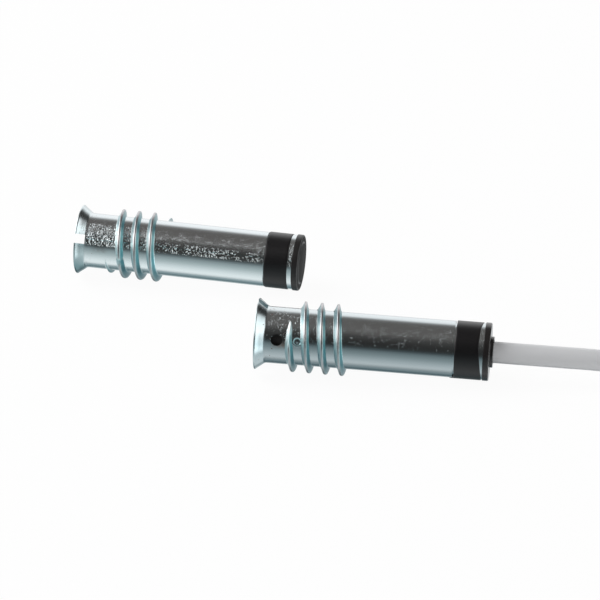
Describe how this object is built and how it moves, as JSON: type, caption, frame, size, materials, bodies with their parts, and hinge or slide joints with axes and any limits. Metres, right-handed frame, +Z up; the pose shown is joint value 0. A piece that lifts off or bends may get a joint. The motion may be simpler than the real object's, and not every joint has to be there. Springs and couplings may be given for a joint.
{
  "type": "magnetic contact",
  "caption": "Recessed magnetic door contact: a threaded steel switch unit with a white cable, and a matching threaded steel magnet unit, both with slotted flared heads and black plugs.",
  "frame": {"origin": "centre of the two units' footprint, on the surface that they lie on", "axes": "+X along the switch unit from its flared head to its cable end, +Z up, +Y towards the magnet unit"},
  "size_m": [0.1664, 0.062, 0.0166],
  "materials": {
    "zinc_plated_steel": "bright zinc plating, blue-white, slightly spangled",
    "black_rubber": "matte",
    "black_plastic": "satin",
    "magnet_alloy": "ground",
    "grey_foam": "matte",
    "reed_glass": "clear, greenish",
    "nickel_iron": "satin",
    "solder": "bright",
    "epoxy": "cast",
    "white_pvc": "satin",
    "red_wire": "satin",
    "core_white": "satin",
    "core_brown": "satin",
    "core_green": "satin",
    "core_yellow": "satin",
    "tinned_copper": "bright",
    "tie_plastic": "satin"
  },
  "bodies": {
    "root": {"magnet_sleeve": "zinc_plated_steel", "magnet_collar": "black_rubber", "magnet_end_plug": "black_plastic", "magnet_capsule": "black_plastic", "bar_magnet": "magnet_alloy", "magnet_foam": "grey_foam", "switch_sleeve": "zinc_plated_steel", "switch_collar": "black_rubber", "switch_end_plug": "black_plastic", "switch_capsule": "black_plastic", "reed_glass": "reed_glass", "reed_blade_front": "nickel_iron", "reed_blade_rear": "nickel_iron", "reed_return_wire": "red_wire", "solder_front": "solder", "solder_rear": "solder", "solder_return": "solder", "solder_loop": "solder", "core_white_inside": "core_white", "core_brown_inside": "core_brown", "core_green_inside": "core_green", "core_yellow_inside": "core_yellow", "potting": "epoxy", "cable": "white_pvc", "cable_coil": "white_pvc", "cable_tail": "white_pvc", "core_white": "core_white", "core_brown": "core_brown", "core_green": "core_green", "core_yellow": "core_yellow", "tip_white": "tinned_copper", "tip_brown": "tinned_copper", "tip_green": "tinned_copper", "tip_yellow": "tinned_copper", "coil_tie": "tie_plastic"}
  },
  "joints": []
}
